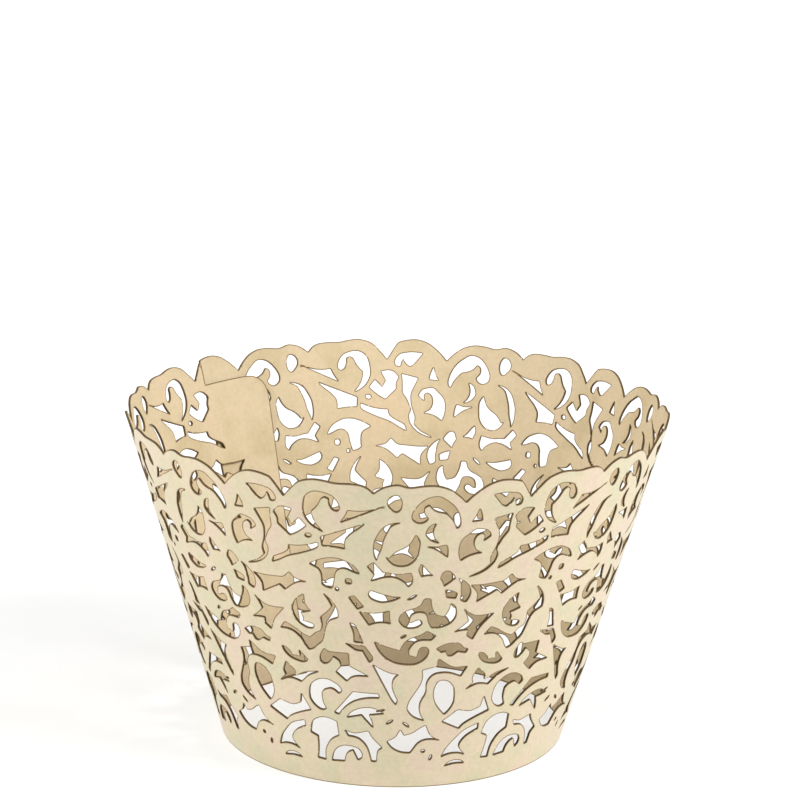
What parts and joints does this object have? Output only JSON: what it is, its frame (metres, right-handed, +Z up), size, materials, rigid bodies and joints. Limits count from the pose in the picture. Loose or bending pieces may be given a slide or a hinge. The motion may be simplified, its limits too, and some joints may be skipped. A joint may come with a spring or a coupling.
{
  "type": "cupcake wrapper",
  "caption": "Tapered round cupcake wrapper cut from one sheet of pearl card, with lace-like vine cut-outs, a scalloped top edge and a lap seam.",
  "frame": {"origin": "centre of the base ring, on the surface that the wrapper stands on", "axes": "+Z up along the sleeve's axis, from the narrow base to the scalloped rim; -Y is the front, where one repeat of the vine is centred; the lap seam is at the left of the back"},
  "size_m": [0.0778, 0.078, 0.0486],
  "materials": {
    "card": "ivory pearl card with a faint shimmer and laser-scorched cut edges"
  },
  "bodies": {
    "root": {"wrapper": "card"}
  },
  "joints": []
}
